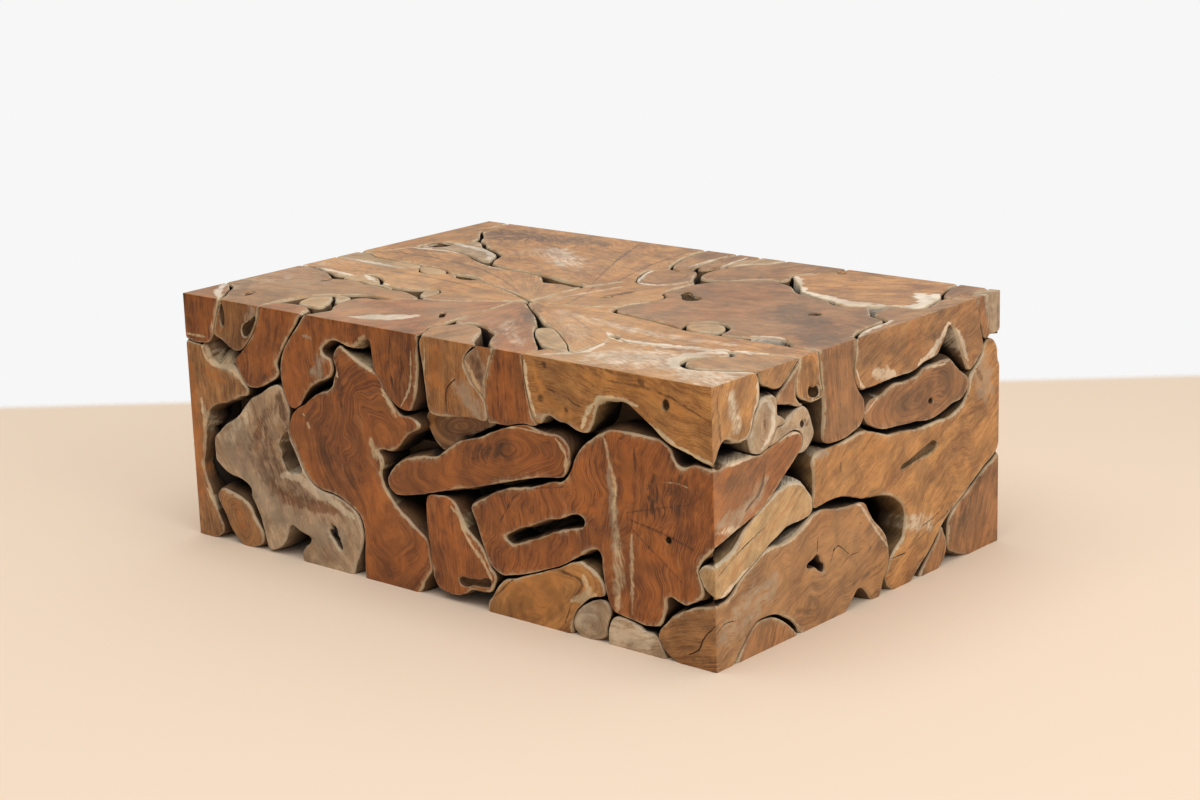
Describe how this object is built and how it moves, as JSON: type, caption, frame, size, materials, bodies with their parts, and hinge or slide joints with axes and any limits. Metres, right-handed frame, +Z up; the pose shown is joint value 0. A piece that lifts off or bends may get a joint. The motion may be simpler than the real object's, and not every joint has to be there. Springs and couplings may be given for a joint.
{
  "type": "coffee_table",
  "caption": "Block-shaped coffee table made of teak root slices fitted as a mosaic on every face, mitred round the edges and carried on a hidden inner frame.",
  "frame": {"origin": "At floor level under the middle of the table's bounding box.", "axes": "+X runs along the long side, -Y is the front, +Z is up."},
  "size_m": [1.2, 0.8, 0.45],
  "materials": {
    "red_teak": "satin",
    "gold_teak": "satin",
    "brown_teak": "satin",
    "grey_teak": "matt",
    "dark_teak": "matt",
    "pale_sapwood": "matt",
    "frame_timber": "matt"
  },
  "bodies": {
    "root": {"near_corner_block": "gold_teak", "hand_block": "red_teak", "log_slice": "brown_teak", "red_root": "red_teak", "arch_arm": "red_teak", "bell_block": "gold_teak", "left_corner_block": "red_teak", "grey_edge_block": "brown_teak", "short_block": "brown_teak", "front_arm": "red_teak", "grey_root": "grey_teak", "left_wall_corner": "grey_teak", "pebble": "brown_teak", "low_wedge_block": "brown_teak", "heart_block": "red_teak", "floor_knob": "grey_teak", "floor_chip": "grey_teak", "bottom_corner_root": "red_teak", "corner_stick": "pale_sapwood", "right_arm": "gold_teak", "dark_slab": "red_teak", "crown_core": "gold_teak", "left_arm_low": "gold_teak", "left_arm_high": "gold_teak", "big_back_slab": "gold_teak", "right_edge_block": "brown_teak", "saddle_block": "gold_teak", "back_right_slab": "gold_teak", "back_mid_slab": "brown_teak", "oval_slice": "brown_teak", "back_finger_wide": "brown_teak", "back_finger_slim": "brown_teak", "back_finger_dark": "dark_teak", "far_corner_block": "grey_teak", "back_left_corner": "gold_teak", "pale_strip": "pale_sapwood", "pale_wedge": "pale_sapwood", "left_wedge": "grey_teak", "top_infill": "pale_sapwood", "ear_block": "grey_teak", "shoulder_block": "grey_teak", "leaf_slice": "brown_teak", "big_side_root": "brown_teak", "far_bottom_corner": "brown_teak", "side_infill": "grey_teak", "left_mid_block": "brown_teak", "left_floor_block": "gold_teak", "left_back_corner": "brown_teak", "back_left_root": "grey_teak", "back_centre_root": "red_teak", "back_right_root": "gold_teak", "back_floor_left": "brown_teak", "back_floor_centre": "grey_teak", "back_floor_right": "red_teak", "inner_root_log": "dark_teak", "corner_posts": "frame_timber", "long_rails": "frame_timber", "short_rails": "frame_timber", "top_slats": "frame_timber"}
  },
  "joints": []
}
